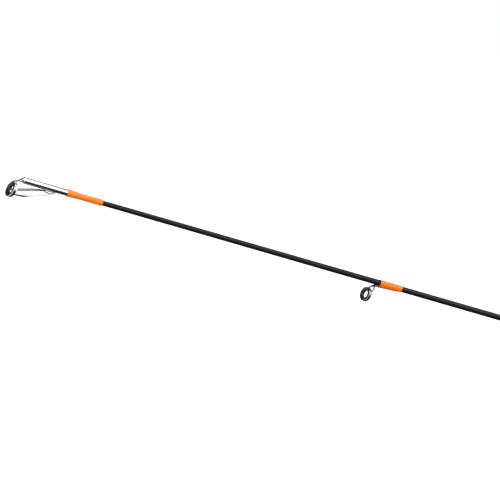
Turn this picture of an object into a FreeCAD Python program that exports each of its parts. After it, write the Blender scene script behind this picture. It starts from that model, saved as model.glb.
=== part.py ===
import FreeCAD, Part
import os
import Sketcher

# A one-piece ice fishing rod, in millimetres. +X runs along the blank from the butt face at the
# origin to the tip, +Z is up, and the guides, the reel hoods and the line are on the -Z side.

RODSIZES = [
    ("rod_length", 762.0, "butt face to the front end of the tip tube"),
    ("blank_start", 3.0, "how far in from the butt face the blank begins"),
    ("blank_butt_dia", 5.4, "blank at its butt end"),
    ("blank_break", 202.0, "distance behind the tip where the taper changes"),
    ("blank_break_dia", 2.22, "blank where the taper changes"),
    ("blank_tip_dia", 1.56, "blank at the tip"),
    ("blank_tip_gap", 1.0, "blank's end back from the front of the tip tube"),
    ("tube_dia", 2.0, "tip tube, outside"),
    ("tube_length", 17.3, "tip tube, end to end"),
    ("tube_cap", 0.6, "closed front end of the tip tube"),
    ("tube_glue", 0.02, "glue gap round the blank at the tube's rear end"),
    ("tube_edge", 0.25, "rounding of the tube's front edge"),
    ("top_ring_ahead", 2.95, "front rim of the tip ring, ahead of the tube"),
    ("top_ring_drop", 3.65, "centre of the tip ring, below the rod's axis"),
    ("top_ring_lean", 10.0, "tip ring faces up by this angle, degrees"),
    ("top_ring_dia", 5.22, "tip ring's front rim"),
    ("top_barrel_dia", 4.8, "tip ring's barrel behind the rim"),
    ("top_ring_depth", 1.2, "tip ring, front to back"),
    ("top_rim", 0.4, "width of the front rim"),
    ("top_wall", 0.38, "barrel wall"),
    ("top_bore", 2.3, "hole in the tip ring's insert"),
    ("arm_dia", 0.62, "brace arm between the barrel and the tube"),
    ("arm_spread", 1.95, "arm's distance from the middle plane at the barrel"),
    ("arm_drop", 0.7, "where an arm leaves the barrel, below the ring's centre"),
    ("arm_bite", 0.2, "how far an arm runs into the barrel"),
    ("arm_reach", 11.4, "where the arms meet the tube, behind its front end"),
    ("tab_width", 1.5, "neck tab over the tip ring"),
    ("tab_sheet", 0.5, "thickness of the neck tab"),
    ("tab_lap", 0.4, "how far the tab reaches back over the tube's front"),
    ("tab_crest", 0.8, "top of the tab's bend, above the barrel"),
    ("tab_bite", 0.2, "how deep the tab runs into the barrel"),
    ("pad_length", 3.4, "brazed pad where the arms meet the tube"),
    ("pad_dia", 1.15, "width of the brazed pad"),
    ("pad_lift", 0.1, "pad's ends above its middle"),
    ("quarter_bow", 0.29, "bow of a quarter circle, share of its radius"),
    ("overrun", 1.0, "how far a cut runs past its piece"),
    ("insert_land", 0.5, "straight stretch in the middle of an insert's hole"),
    ("insert_proud", 1.12, "depth of a running guide's insert, share of its holder's"),
    ("insert_round", 0.12, "bow of an insert's lips, share of their chord"),
    ("tip_wrap_back", 15.1, "front edge of the tip wrap, behind the tube's front"),
    ("tip_wrap_length", 13.3, "tip wrap, along the rod"),
    ("saddle_run", 3.0, "tip thread slopes down over this far behind the tube"),
    ("thread_inset", 0.5, "thread stops this far inside its clear coat"),
    ("thread_build", 0.12, "thread over what it binds"),
    ("coat_build", 0.08, "clear coat over the thread"),
    ("coat_swell", 0.14, "extra clear coat at the rear end of a wrap"),
    ("coat_edge", 0.9, "length of a coat's rounded rear end"),
    ("coat_front", 0.6, "a coat's rounded front end, share of the rear one"),
    ("coat_bow", 0.12, "bow of a coat's rounded rear end, share of its length"),
    ("guide_lean", 5.0, "running rings face up by this angle, degrees"),
    ("leg_lean", 26.0, "a guide's legs lean towards the tip by this angle, degrees"),
    ("neck_run", 0.9, "bare foot between a guide's bend and its wrap"),
    ("holder_edge", 0.1, "bevel of a guide's holder ring"),
    ("foot_gap", 0.02, "glue film between a foot and the blank"),
    ("foot_toe", 0.15, "foot's thickness at its toe"),
    ("toe_inset", 1.6, "foot's toe inside the end of the wrap"),
    ("butt_cap_length", 7.0, "butt cap"),
    ("butt_cap_dia", 23.2, "butt cap"),
    ("butt_cap_edge", 2.2, "rounding of the butt cap"),
    ("trim_length", 2.5, "each trim ring, along the rod"),
    ("trim_edge", 0.4, "bevel of a trim ring"),
    ("butt_trim_step", -0.2, "butt trim ring, proud of the butt cap"),
    ("rear_trim_step", -0.6, "rear trim ring, proud of the rear grip's front"),
    ("seat_trim_step", 0.4, "seat trim ring, proud of the reel seat"),
    ("foregrip_trim_step", 0.1, "foregrip trim ring, proud of the foregrip"),
    ("rear_grip_length", 54.5, "rear grip"),
    ("rear_grip_dia", 22.2, "rear grip at the butt"),
    ("rear_grip_front_dia", 16.4, "rear grip at its front"),
    ("rear_grip_bow", 1.9, "how far the rear grip's side bows out"),
    ("rear_gap", 15.0, "bare blank between the rear grip and the reel seat"),
    ("seat_length", 100.0, "reel seat"),
    ("seat_dia", 16.0, "reel seat's barrel, over the thread"),
    ("seat_bore", 11.2, "hole through the reel seat"),
    ("thread_lead", 2.0, "reel seat's thread, one turn"),
    ("thread_length", 36.0, "threaded stretch"),
    ("thread_depth", 0.7, "depth of the thread"),
    ("thread_over", 0.3, "how far the thread's cut starts outside the barrel"),
    ("channel_start", 19.0, "rear end of the flat, from the seat's rear"),
    ("channel_cut", 2.0, "how deep the flat for the reel's foot is cut"),
    ("fixed_hood_length", 18.0, "fixed hood, at the seat's front"),
    ("hood_wall", 1.4, "hood's wall at its slim end"),
    ("hood_mouth_wall", 3.4, "hood's wall at its mouth"),
    ("hood_mouth_drop", 2.2, "how far the mouth's middle hangs below the axis"),
    ("pocket_depth", 9.0, "hood's pocket, along the rod"),
    ("pocket_width", 13.0, "pocket at its mouth"),
    ("pocket_end_width", 11.0, "pocket at its end"),
    ("pocket_height", 5.8, "pocket at its mouth, from the flat out"),
    ("pocket_end_height", 3.8, "pocket at its end, from the flat out"),
    ("liner_sheet", 0.6, "cushion that lines a pocket's outer face"),
    ("keyway_width", 3.2, "slot that keeps the moving hood from turning"),
    ("keyway_depth", 1.3, "depth of that slot"),
    ("keyway_length", 56.0, "length of that slot"),
    ("key_gap", 0.3, "room round the moving hood's key"),
    ("key_length", 10.0, "moving hood's key"),
    ("key_root", 0.6, "how far the key runs into the hood's wall"),
    ("slide_gap", 0.2, "room between the barrel and what slides on it"),
    ("hood_start", 22.0, "moving hood's rear end, from the seat's rear"),
    ("hood_length", 16.0, "moving hood"),
    ("nut_length", 10.0, "lock nut"),
    ("nut_wall", 2.3, "lock nut's wall"),
    ("nut_edge", 1.0, "bevel at each end of the lock nut"),
    ("nut_gap", 0.3, "room between the lock nut and the moving hood"),
    ("flute_dia", 2.4, "finger flute in the lock nut"),
    ("flute_count", 20.0, "flutes round the lock nut"),
    ("arbor_length", 22.0, "each bushing between the blank and the seat"),
    ("arbor_inset", 4.0, "bushing's distance from the seat's end"),
    ("foregrip_length", 49.5, "foregrip"),
    ("foregrip_dia", 18.8, "foregrip at the reel seat"),
    ("foregrip_front_dia", 10.4, "foregrip at its front"),
    ("foregrip_bow", 1.5, "how far the foregrip's side bows out"),
    ("grip_edge", 0.8, "rounding of a grip's ends"),
    ("check_length", 4.0, "winding check"),
    ("check_dia", 9.6, "winding check at the foregrip"),
    ("check_front_dia", 5.4, "winding check at its front"),
    ("handle_wrap_length", 13.0, "trim wrap ahead of the winding check"),
]

# Each running guide: how far its ring is behind the tip, its ring, its stamped frame and its wrap.
GUIDEFIELDS = ["back", "drop", "ring_dia", "bore", "ring_depth", "wall", "sheet", "neck_width",
               "foot_width", "foot_height", "wrap_length"]
GUIDES = {
    "first_guide": [139.9, 5.3, 5.14, 2.6, 1.2, 0.42, 0.5, 1.3, 1.3, 0.6, 10.6],
    "second_guide": [288.0, 7.6, 7.4, 4.7, 1.5, 0.5, 0.6, 1.6, 1.6, 0.75, 12.4],
    "third_guide": [440.0, 12.6, 11.8, 8.2, 1.9, 0.65, 0.8, 2.2, 2.1, 0.95, 15.0],
}

document = FreeCAD.newDocument("ice_rod")
sheet = document.addObject("Spreadsheet::Sheet", "size")
allSizes = list(RODSIZES)
for guide, values in GUIDES.items():
    for field, number in zip(GUIDEFIELDS, values):
        allSizes.append((guide + "_" + field, number, guide.replace("_", " ")))
for row, (alias, number, note) in enumerate(allSizes, start=1):
    sheet.set("A%d" % row, alias)
    sheet.set("B%d" % row, str(number))
    sheet.set("C%d" % row, note)
    sheet.setAlias("B%d" % row, alias)
document.recompute()

subparts = {}


def value(expression):
    """The number that an expression on the sheet's sizes gives."""
    return float(sheet.evalExpression(expression))


def blankRadius(along):
    """Expression for the blank's radius at a distance along the rod."""
    breakAlong = "size.rod_length - size.blank_break"
    if value(along) > value(breakAlong):
        share = "(size.rod_length - (%s)) / size.blank_break" % along
        return "size.blank_tip_dia / 2 + (size.blank_break_dia - size.blank_tip_dia) / 2 * " + share
    share = "(%s - (%s)) / (%s - size.blank_start)" % (breakAlong, along, breakAlong)
    return "size.blank_break_dia / 2 + (size.blank_butt_dia - size.blank_break_dia) / 2 * " + share


def newBody(label):
    body = document.addObject("PartDesign::Body", label)
    body.Label = label
    return body


def originPart(body, role):
    return [feature for feature in body.Origin.OriginFeatures if feature.Role == role][0]


def newSketch(body, role, name, along=None, lift=None, lean=None):
    """A sketch on one of the body's origin planes, moved along its normal, up it, or leaned."""
    sketch = body.newObject("Sketcher::SketchObject", name)
    sketch.AttachmentSupport = [(originPart(body, role), "")]
    sketch.MapMode = "FlatFace"
    if lean is not None:
        sketch.AttachmentOffset = FreeCAD.Placement(
            FreeCAD.Vector(0, 0, 0), FreeCAD.Rotation(FreeCAD.Vector(1, 0, 0), -value(lean)))
        sketch.setExpression("AttachmentOffset.Rotation.Angle", "-(%s)" % lean)
    if lift is not None:
        sketch.setExpression("AttachmentOffset.Base.y", lift)
    if along is not None:
        sketch.setExpression("AttachmentOffset.Base.z", along)
    return sketch


def pinned(edge, end, across, up):
    """Constraints, with their expressions, that hold one point of an edge."""
    return [(Sketcher.Constraint("DistanceX", -1, 1, edge, end, value(across)), across),
            (Sketcher.Constraint("DistanceY", -1, 1, edge, end, value(up)), up)]


def bindAll(sketch, held):
    """Adds constraints together, so that no edge moves meanwhile, and ties each to the sheet."""
    rows = sketch.addConstraint([constraint for constraint, expression in held])
    for row, (constraint, expression) in zip(rows, held):
        if expression is not None:
            sketch.setExpression("Constraints[%d]" % row, expression)


def drawOutline(sketch, corners):
    """A closed outline through corners (across, up) or (across, up, bow), taken clockwise.

    A corner with a bow starts an arc that bulges outwards by that much.
    """
    first = sketch.GeometryCount
    spots = [FreeCAD.Vector(value(corner[0]), value(corner[1]), 0) for corner in corners]
    count = len(corners)
    heads = []
    for index, corner in enumerate(corners):
        start, end = spots[index], spots[(index + 1) % count]
        if len(corner) == 2:
            sketch.addGeometry(Part.LineSegment(start, end), False)
            heads.append(1)
            continue
        run = end - start
        bow = value(corner[2])
        middle = (start + end) * 0.5 + FreeCAD.Vector(-run.y, run.x, 0).normalize() * bow
        # Arcs run anticlockwise, so an outward one starts at its far corner.
        arc = Part.ArcOfCircle(end, middle, start) if bow > 0 else Part.ArcOfCircle(start, middle, end)
        sketch.addGeometry(arc, False)
        heads.append(2 if bow > 0 else 1)
    held = []
    for index, corner in enumerate(corners):
        edge, after = first + index, (index + 1) % count
        joined = Sketcher.Constraint("Coincident", edge, 3 - heads[index], first + after, heads[after])
        held.append((joined, None))
        held += pinned(edge, heads[index], corner[0], corner[1])
        if len(corner) == 3:
            onward = corners[after]
            chord = "((%s) - (%s))^2 + ((%s) - (%s))^2" % (onward[0], corner[0], onward[1], corner[1])
            radius = "(%s) / (8 * abs(%s)) + abs(%s) / 2" % (chord, corner[2], corner[2])
            held.append((Sketcher.Constraint("Radius", edge, value(radius)), radius))
    bindAll(sketch, held)


def drawCircle(sketch, across, up, radius):
    centre = FreeCAD.Vector(value(across), value(up), 0)
    edge = sketch.addGeometry(Part.Circle(centre, FreeCAD.Vector(0, 0, 1), value(radius)), False)
    round = Sketcher.Constraint("Radius", edge, value(radius))
    bindAll(sketch, pinned(edge, 3, across, up) + [(round, radius)])


def rectangle(low, high, bottom, top):
    return [(low, top), (high, top), (high, bottom), (low, bottom)]


def turn(body, name, corners, centre=None, lean="0", cut=False):
    """Turns an outline of (along, radius) corners about the rod's axis, or about a leaned one."""
    sketch = newSketch(body, "XZ_Plane", name + "_outline")
    axis = "H_Axis"
    if centre is not None:
        along, up = centre
        ahead = ["(%s) + 10 * cos(%s)" % (along, lean), "(%s) + 10 * sin(%s)" % (up, lean)]
        line = Part.LineSegment(FreeCAD.Vector(value(along), value(up), 0),
                                FreeCAD.Vector(value(ahead[0]), value(ahead[1]), 0))
        sketch.addGeometry(line, True)
        bindAll(sketch, pinned(0, 1, along, up) + pinned(0, 2, ahead[0], ahead[1]))
        axis = "Axis0"
        placed = []
        for corner in corners:
            spot = ("(%s) + (%s) * cos(%s) - (%s) * sin(%s)" % (along, corner[0], lean, corner[1], lean),
                    "(%s) + (%s) * sin(%s) + (%s) * cos(%s)" % (up, corner[0], lean, corner[1], lean))
            placed.append(spot + tuple(corner[2:]))
        corners = placed
    drawOutline(sketch, corners)
    document.recompute()
    feature = body.newObject("PartDesign::Groove" if cut else "PartDesign::Revolution", name)
    feature.Profile = sketch
    feature.ReferenceAxis = (sketch, [axis])
    feature.Angle = 360
    document.recompute()
    return feature


def extrude(body, name, sketch, length=None, cut=False, both=False, backwards=False):
    """A pad or a pocket; without a length a pocket goes right through."""
    document.recompute()
    feature = body.newObject("PartDesign::Pocket" if cut else "PartDesign::Pad", name)
    feature.Profile = sketch
    feature.Midplane = both
    feature.Reversed = backwards
    if length is None:
        feature.Type = "ThroughAll"
    else:
        feature.setExpression("Length", length)
    document.recompute()
    return feature


def loft(body, name, sections, cut=False):
    document.recompute()
    feature = body.newObject("PartDesign::SubtractiveLoft" if cut else "PartDesign::AdditiveLoft", name)
    feature.Profile = sections[0]
    feature.Sections = sections[1:]
    document.recompute()
    return feature


def discs(body, name, stations):
    """Circles across the rod at stations (along, across, up, radius)."""
    sections = []
    for index, (along, across, up, radius) in enumerate(stations):
        section = newSketch(body, "YZ_Plane", "%s_section_%d" % (name, index), along=along)
        drawCircle(section, across, up, radius)
        sections.append(section)
    return sections


def slabs(body, name, stations):
    """Rectangles across the rod at stations (along, half width, bottom, top)."""
    sections = []
    for index, (along, half, bottom, top) in enumerate(stations):
        section = newSketch(body, "YZ_Plane", "%s_section_%d" % (name, index), along=along)
        drawOutline(section, rectangle("-(%s)" % half, half, bottom, top))
        sections.append(section)
    return sections


def keep(piece, label):
    """Names a piece as one of the rod's sub-parts."""
    piece.Label = label
    subparts[label] = piece


def turned(label, corners):
    body = newBody(label)
    turn(body, label + "_turn", corners)
    keep(body, label)
    return body


def trimmed(label, base, tools):
    """A sub-part that is a body less the pieces it fits round."""
    piece = base
    for index, tool in enumerate(tools):
        less = document.addObject("Part::Cut", "%s_less_%d" % (label, index))
        less.Base = piece
        less.Tool = tool
        piece = less
    document.recompute()
    keep(piece, label)
    return piece


def tube(rear, front, radius, edge="size.trim_edge"):
    """Outline of a bevelled ring that sits on the blank."""
    return [(rear, "(%s) - (%s)" % (radius, edge)), ("(%s) + (%s)" % (rear, edge), radius),
            ("(%s) - (%s)" % (front, edge), radius), (front, "(%s) - (%s)" % (radius, edge)),
            (front, blankRadius(front)), (rear, blankRadius(rear))]


# The blank: a solid carbon taper in two stages.
blankEnd = "size.rod_length - size.blank_tip_gap"
blankBreak = "size.rod_length - size.blank_break"
blank = turned("blank", [
    ("size.blank_start", blankRadius("size.blank_start")), (blankBreak, "size.blank_break_dia / 2"),
    (blankEnd, blankRadius(blankEnd)), (blankEnd, "0"), ("size.blank_start", "0")])

# The tip tube: a drawn cap over the blank's end.
tubeRear = "size.rod_length - size.tube_length"
tubeBore = blankRadius(tubeRear) + " + size.tube_glue"
tipTube = turned("tip_tube", [
    (tubeRear, "size.tube_dia / 2"),
    ("size.rod_length - size.tube_edge", "size.tube_dia / 2", "size.tube_edge * size.quarter_bow"),
    ("size.rod_length", "size.tube_dia / 2 - size.tube_edge"), ("size.rod_length", "0"),
    ("size.rod_length - size.tube_cap", "0"), ("size.rod_length - size.tube_cap", tubeBore),
    (tubeRear, tubeBore)])
tubeCore = newBody("tube_core")
turn(tubeCore, "tube_core_turn", [(tubeRear, "size.tube_dia / 2"), ("size.rod_length", "size.tube_dia / 2"),
                                  ("size.rod_length", "0"), (tubeRear, "0")])


def insertOutline(depth, outer, bore):
    """An insert's section: flat outside, rounded lips, and a short straight land in its hole."""
    lip = "sqrt(((%s) - size.insert_land)^2 / 4 + ((%s) - (%s))^2) * size.insert_round" % (depth, outer, bore)
    return [("-(%s) / 2" % depth, outer), ("(%s) / 2" % depth, outer, lip),
            ("size.insert_land / 2", bore), ("-size.insert_land / 2", bore, lip)]


def shifted(corners, shift):
    return [("(%s) + (%s)" % (shift, corner[0]),) + tuple(corner[1:]) for corner in corners]


# The tip-top: a barrel with a rolled front rim, a neck tab over it and two arms back to the tube.
topCentre = ("size.rod_length + size.top_ring_ahead", "-size.top_ring_drop")
topInsert = "(size.top_barrel_dia / 2 - size.top_wall)"
tipFrame = newBody("tip_frame")
armTop = "size.rod_length + size.top_ring_ahead - size.top_ring_depth + size.arm_bite"
armFoot = "-size.tube_dia / 2 - size.arm_dia * 0.25"
armRise = "(%s + size.top_ring_drop + size.arm_drop)" % armFoot


def armStation(share, spread, lift, radius):
    """A place on an arm: shares of its reach, its spread, its rise to the tube and its radius."""
    return ("size.rod_length - size.arm_reach * %s" % share, "size.arm_spread * %s" % spread,
            "%s - %s * (1 - %s)" % (armFoot, armRise, lift), "size.arm_dia / 2 * %s" % radius)


armStations = [
    (armTop, "size.arm_spread", "-size.top_ring_drop - size.arm_drop", "size.arm_dia / 2"),
    armStation(0.18, 0.95, 0.25, 1.0), armStation(0.54, 0.72, 0.61, 1.0),
    armStation(0.84, 0.36, 0.88, 0.95), armStation(1.0, 0.12, 1.0, 0.85)]
for side, sign in (("near", "1"), ("far", "-1")):
    stations = [(along, "%s * (%s)" % (sign, across), up, radius)
                for along, across, up, radius in armStations]
    loft(tipFrame, side + "_arm", discs(tipFrame, side + "_arm", stations))
padMiddle = "size.rod_length - size.arm_reach + size.pad_length * 0.3"
loft(tipFrame, "braze_pad", discs(tipFrame, "braze_pad", [
    (padMiddle + " - size.pad_length / 2", "0", "-size.tube_dia / 2 + size.pad_lift", "size.pad_dia / 5"),
    (padMiddle, "0", "-size.tube_dia / 2", "size.pad_dia / 2"),
    (padMiddle + " + size.pad_length / 2", "0", "-size.tube_dia / 2 + size.pad_lift", "size.pad_dia / 5")]))
tab = newSketch(tipFrame, "XZ_Plane", "tab_side")
ringTop = "-size.top_ring_drop + size.top_barrel_dia / 2"
ringAhead = "size.rod_length + size.top_ring_ahead"
ringRear = ringAhead + " - size.top_ring_depth"
tabRear = "size.rod_length - size.tab_lap"
tabCrest = ringRear + " + size.tab_sheet * 0.2"
tabFront = ringAhead + " - size.top_rim * 0.6"
drawOutline(tab, [
    (tabRear, "size.tube_dia / 2"), ("size.rod_length + size.tab_lap * 0.6", "size.tube_dia / 2"),
    (tabCrest, ringTop + " + size.tab_crest"),
    (ringRear + " + size.tab_sheet", ringTop + " + size.tab_sheet"),
    (tabFront, ringTop + " + size.tab_bite"), (tabFront, ringTop + " - size.tab_bite"),
    (ringRear, ringTop + " - size.tab_bite"), (ringRear + " - size.tab_sheet", ringTop),
    (tabRear, "-size.tube_dia / 2")])
extrude(tipFrame, "tab", tab, length="size.tab_width", both=True)
turn(tipFrame, "barrel", [
    ("-size.top_ring_depth", "size.top_barrel_dia / 2"), ("-size.top_rim", "size.top_barrel_dia / 2"),
    ("-size.top_rim", "size.top_ring_dia / 2"), ("0", "size.top_ring_dia / 2"),
    ("0", topInsert), ("-size.top_ring_depth", topInsert)], centre=topCentre, lean="size.top_ring_lean")
turn(tipFrame, "barrel_hole", [
    ("-size.top_ring_depth - size.overrun", topInsert), ("size.overrun", topInsert), ("size.overrun", "0"),
    ("-size.top_ring_depth - size.overrun", "0")], centre=topCentre, lean="size.top_ring_lean", cut=True)
trimmed("tip_frame", tipFrame, [tubeCore])

tipRing = newBody("tip_ring")
tipInsert = insertOutline("size.top_ring_depth", topInsert, "size.top_bore / 2")
turn(tipRing, "tip_ring_turn", shifted(tipInsert, "-size.top_ring_depth / 2"), centre=topCentre,
     lean="size.top_ring_lean")
keep(tipRing, "tip_ring")


# A clear coat's two rounded ends, and how far each bows.
coatBow = "size.coat_edge * size.coat_bow"
coatFront = " - size.coat_edge * size.coat_front"
coatFrontBow = "size.coat_edge * size.coat_bow / 2"

# The tip wrap: thread over the tube's rear end and the blank, under a clear coat.
wrapFront = "size.rod_length - size.tip_wrap_back"
wrapRear = wrapFront + " - size.tip_wrap_length"
threadFront = wrapFront + " - size.thread_inset"
threadRear = wrapRear + " + size.thread_inset"
saddle = tubeRear + " - size.saddle_run"
tipThread = newBody("tip_thread_round")
turn(tipThread, "tip_thread_turn", [
    (threadRear, blankRadius(threadRear) + " + size.thread_build"),
    (saddle, blankRadius(saddle) + " + size.thread_build"),
    (tubeRear, "size.tube_dia / 2 + size.thread_build * 0.5"),
    (threadFront, "size.tube_dia / 2 + size.thread_build * 0.9"), (threadFront, "0"), (threadRear, "0")])
tipCoat = newBody("tip_coat_round")
turn(tipCoat, "tip_coat_turn", [
    (wrapRear, blankRadius(wrapRear), coatBow),
    (wrapRear + " + size.coat_edge",
     blankRadius(wrapRear) + " + size.thread_build + size.coat_build + size.coat_swell"),
    (saddle, blankRadius(saddle) + " + size.thread_build + size.coat_build"),
    (tubeRear, "size.tube_dia / 2 + size.thread_build + size.coat_build * 0.7"),
    (wrapFront + coatFront, "size.tube_dia / 2 + size.thread_build + size.coat_build", coatFrontBow),
    (wrapFront, "size.tube_dia / 2"), (wrapFront, "0"), (wrapRear, "0")])
trimmed("tip_wrap", tipThread, [tubeCore, blank])
trimmed("tip_coat", tipCoat, [tipThread, tubeCore, blank])


def guideSize(guide, field):
    return "size.%s_%s" % (guide, field)


def runningGuide(guide):
    """A stamped single-foot guide with a pressed-in insert, bound under the blank with thread."""
    part = {field: guideSize(guide, field) for field in GUIDEFIELDS}
    lean, legLean = "size.guide_lean", "size.leg_lean"
    ringAlong = "size.rod_length - " + part["back"]
    centre = (ringAlong, "-" + part["drop"])
    under = blankRadius(ringAlong) + " + size.foot_gap"
    rise = "((%s - (%s)) / cos(%s))" % (part["drop"], under, legLean)
    bend = "(%s - %s * sin(%s))" % (ringAlong, rise, legLean)
    ringRadius = part["ring_dia"] + " / 2"
    seat = "(%s - %s)" % (ringRadius, part["wall"])
    neck = part["neck_width"] + " / 2"
    sheetHalf = part["sheet"] + " / 2"

    # The flat of the frame: two legs from the ring's shoulders to the neck, with a gap between.
    frame = newBody(guide + "_frame")
    plate = newSketch(frame, "YZ_Plane", guide + "_plate", along=ringAlong, lift=centre[1], lean=legLean)
    shoulder = ringRadius + " * 0.9"
    drawOutline(plate, [
        ("-(%s)" % neck, rise), (neck, rise), (neck, rise + " - " + part["sheet"]),
        (shoulder, ringRadius + " * 0.42"), ("0", "0"), ("-(%s)" % shoulder, ringRadius + " * 0.42"),
        ("-(%s)" % neck, rise + " - " + part["sheet"])])
    extrude(frame, guide + "_sheet", plate, length=part["sheet"], both=True)
    gap = newSketch(frame, "YZ_Plane", guide + "_gap", along=ringAlong, lift=centre[1], lean=legLean)
    apex = "(%s - %s * 1.5)" % (rise, part["sheet"])
    drawOutline(gap, [("0", apex), (ringRadius + " * 0.56", ringRadius + " * 0.7"),
                      ("-%s * 0.56" % ringRadius, ringRadius + " * 0.7")])
    extrude(frame, guide + "_window", gap, cut=True, both=True)
    holderHalf = part["ring_depth"] + " / 2"
    turn(frame, guide + "_holder", [
        ("-" + holderHalf, ringRadius + " - size.holder_edge"),
        ("-%s + size.holder_edge" % holderHalf, ringRadius),
        (holderHalf + " - size.holder_edge", ringRadius), (holderHalf, ringRadius + " - size.holder_edge"),
        (holderHalf, seat), ("-" + holderHalf, seat)], centre=centre, lean=lean)
    turn(frame, guide + "_seat", [
        ("-%s" % part["ring_depth"], seat), (part["ring_depth"], seat), (part["ring_depth"], "0"),
        ("-%s" % part["ring_depth"], "0")], centre=centre, lean=lean, cut=True)

    # The foot: bent back along the blank, thinning to its toe under the thread.
    wrapFront = bend + " - size.neck_run"
    wrapRear = wrapFront + " - " + part["wrap_length"]
    toe = wrapRear + " + size.toe_inset"
    heel = bend + " + " + sheetHalf
    heelUp = "-(%s) - size.foot_gap" % blankRadius(bend)
    toeUp = "-(%s) - size.foot_gap" % blankRadius(toe)
    foot = newSketch(frame, "XZ_Plane", guide + "_foot_side")
    drawOutline(foot, [
        (toe, toeUp), (heel, heelUp), (heel, heelUp + " - " + sheetHalf),
        (heel, heelUp + " - " + part["foot_height"] + " * 0.8"),
        (bend + " - size.neck_run * 0.5", heelUp + " - " + part["foot_height"]),
        (toe, toeUp + " - size.foot_toe")])
    extrude(frame, guide + "_foot", foot, length=part["foot_width"], both=True)
    frame = trimmed(guide + "_frame", frame, [blank])

    insert = newBody(guide + "_ring")
    insertDepth = part["ring_depth"] + " * size.insert_proud"
    turn(insert, guide + "_ring_turn", insertOutline(insertDepth, seat, part["bore"] + " / 2"),
         centre=centre, lean=lean)
    keep(insert, guide + "_ring")

    # Thread and coat: a round winding on the blank joined to a second one over the foot.
    def winding(name, front, rear, build, swell):
        body = newBody(name)
        turn(body, name + "_turn", [
            (rear, blankRadius(rear), coatBow),
            (rear + " + size.coat_edge", blankRadius(rear) + " + " + build + " + " + swell),
            (front + coatFront, blankRadius(front) + " + " + build, coatFrontBow),
            (front, blankRadius(front) + " + " + build + " * 0.5"), (front, "0"), (rear, "0")])
        footHalf = part["foot_width"] + " / 2"
        axisDrop = "(%s + %s - %s)" % (blankRadius(bend), part["foot_height"], footHalf)
        hump = "(%s + %s)" % (footHalf, build)
        turn(body, name + "_hump", [
            (rear + " + size.coat_edge", "%s * 0.35" % hump),
            (front + " - size.coat_edge * 1.2", hump, "0.02"),
            (front + " - size.coat_edge * 0.5", hump + " * 0.97"), (front, hump + " * 0.85"), (front, "0"),
            (rear + " + size.coat_edge", "0")], centre=("0", "-" + axisDrop))
        return body

    thread = winding(guide + "_thread_round", wrapFront + " - size.thread_inset",
                     wrapRear + " + size.thread_inset", "size.thread_build", "0")
    coat = winding(guide + "_coat_round", wrapFront, wrapRear,
                   "(size.thread_build + size.coat_build)", "size.coat_swell / 2")
    trimmed(guide + "_wrap", thread, [blank, frame])
    trimmed(guide + "_coat", coat, [thread, blank, frame])


for guide in GUIDES:
    runningGuide(guide)

# The handle's stations along the rod, from the butt face.
capFront = "size.butt_cap_length"
gripRear = capFront + " + size.trim_length"
gripFront = gripRear + " + size.rear_grip_length"
rearTrimFront = gripFront + " + size.trim_length"
seatTrimRear = rearTrimFront + " + size.rear_gap"
seatRear = seatTrimRear + " + size.trim_length"
seatFront = seatRear + " + size.seat_length"
foregripRear = seatFront + " + size.trim_length"
foregripFront = foregripRear + " + size.foregrip_length"
checkFront = foregripFront + " + size.check_length"

turned("butt_cap", [
    ("0", "size.butt_cap_dia / 2 - size.butt_cap_edge", "size.butt_cap_edge * size.quarter_bow"),
    ("size.butt_cap_edge", "size.butt_cap_dia / 2"), (capFront, "size.butt_cap_dia / 2"),
    (capFront, blankRadius(capFront)), ("size.blank_start", blankRadius("size.blank_start")),
    ("size.blank_start", "0"), ("0", "0")])
turned("butt_trim", tube(capFront, gripRear, "size.butt_cap_dia / 2 + size.butt_trim_step"))


def gripOutline(rear, front, rearRadius, frontRadius, bow):
    """A turned foam grip: rounded ends and one long bow between them."""
    edge = "size.grip_edge"
    edgeBow = "size.grip_edge * size.quarter_bow"
    return [(rear, "(%s) - %s" % (rearRadius, edge), edgeBow),
            ("(%s) + %s" % (rear, edge), rearRadius, bow),
            ("(%s) - %s" % (front, edge), frontRadius, edgeBow),
            (front, "(%s) - %s" % (frontRadius, edge)),
            (front, blankRadius(front)), (rear, blankRadius(rear))]


turned("rear_grip", gripOutline(gripRear, gripFront, "size.rear_grip_dia / 2", "size.rear_grip_front_dia / 2",
                                "size.rear_grip_bow"))
turned("rear_trim", tube(gripFront, rearTrimFront, "size.rear_grip_front_dia / 2 + size.rear_trim_step"))
turned("seat_trim", tube(seatTrimRear, seatRear, "size.seat_dia / 2 + size.seat_trim_step"))

# The reel seat: a threaded barrel with a keyway above, a flat for the reel's foot below and a fixed
# hood at its front, bored through for the bushings.
seat = newBody("reel_seat")
turn(seat, "barrel_round", [(seatRear, "size.seat_dia / 2"), (seatFront, "size.seat_dia / 2"),
                            (seatFront, "0"), (seatRear, "0")])
threadTooth = newSketch(seat, "XZ_Plane", "thread_tooth")
toothRear = seatRear + " - size.thread_lead"
crest = "size.seat_dia / 2"
drawOutline(threadTooth, [
    (toothRear, crest + " + size.thread_over"),
    (toothRear + " + size.thread_lead * 0.7", crest + " + size.thread_over"),
    (toothRear + " + size.thread_lead * 0.46", crest + " - size.thread_depth"),
    (toothRear + " + size.thread_lead * 0.24", crest + " - size.thread_depth")])
document.recompute()
threadCut = seat.newObject("PartDesign::SubtractiveHelix", "thread_cut")
threadCut.Profile = threadTooth
threadCut.ReferenceAxis = (threadTooth, ["H_Axis"])
threadCut.Mode = "pitch-height-angle"
threadCut.setExpression("Pitch", "size.thread_lead")
threadCut.setExpression("Height", "size.thread_length")
document.recompute()
hoodMouth = seatFront + " - size.fixed_hood_length"
hoodBore = "(size.seat_dia / 2 + size.slide_gap)"
flatLevel = "(size.seat_dia / 2 - size.channel_cut)"
pocketLevel = "(%s + size.pocket_height)" % flatLevel
pocketEndLevel = "(%s + size.pocket_end_height)" % flatLevel
flat = newSketch(seat, "XZ_Plane", "flat_side")
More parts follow.
